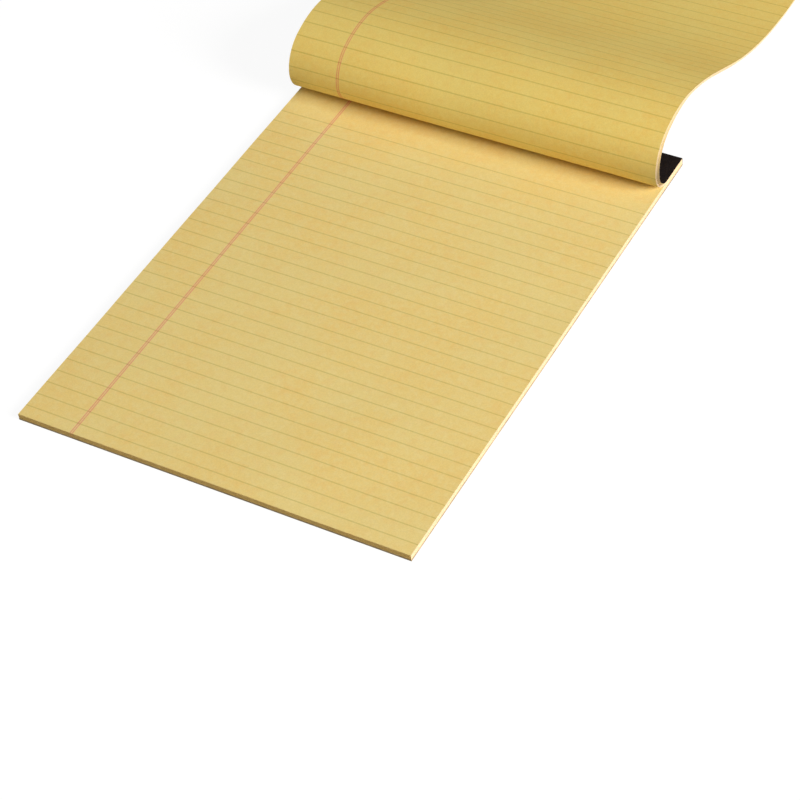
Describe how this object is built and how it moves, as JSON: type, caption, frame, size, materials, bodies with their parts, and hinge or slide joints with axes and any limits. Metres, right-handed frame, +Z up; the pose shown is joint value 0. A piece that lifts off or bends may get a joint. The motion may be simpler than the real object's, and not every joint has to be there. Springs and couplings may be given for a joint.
{
  "type": "legal pad",
  "caption": "Letter-size perforated writing pad on a stiff back, taped at the head, with its first ruled yellow sheets turned over the head to lie behind it.",
  "frame": {"origin": "middle of the backing board's underside, on the table", "axes": "+X across the pad to the right, +Y from the near edge to the taped head, +Z up"},
  "size_m": [0.216, 0.5154, 0.0422],
  "materials": {
    "yellow_paper": "uncoated canary writing paper, ruled both sides",
    "chipboard": "uncoated grey-brown chipboard",
    "tape": "black embossed binding tape, satin",
    "wire": "bright stitching wire"
  },
  "bodies": {
    "root": {"backing_board": "chipboard", "flat_sheets": "yellow_paper", "turned_sheets": "yellow_paper", "binding_tape": "tape", "staple_1": "wire", "staple_2": "wire", "staple_3": "wire"}
  },
  "joints": []
}
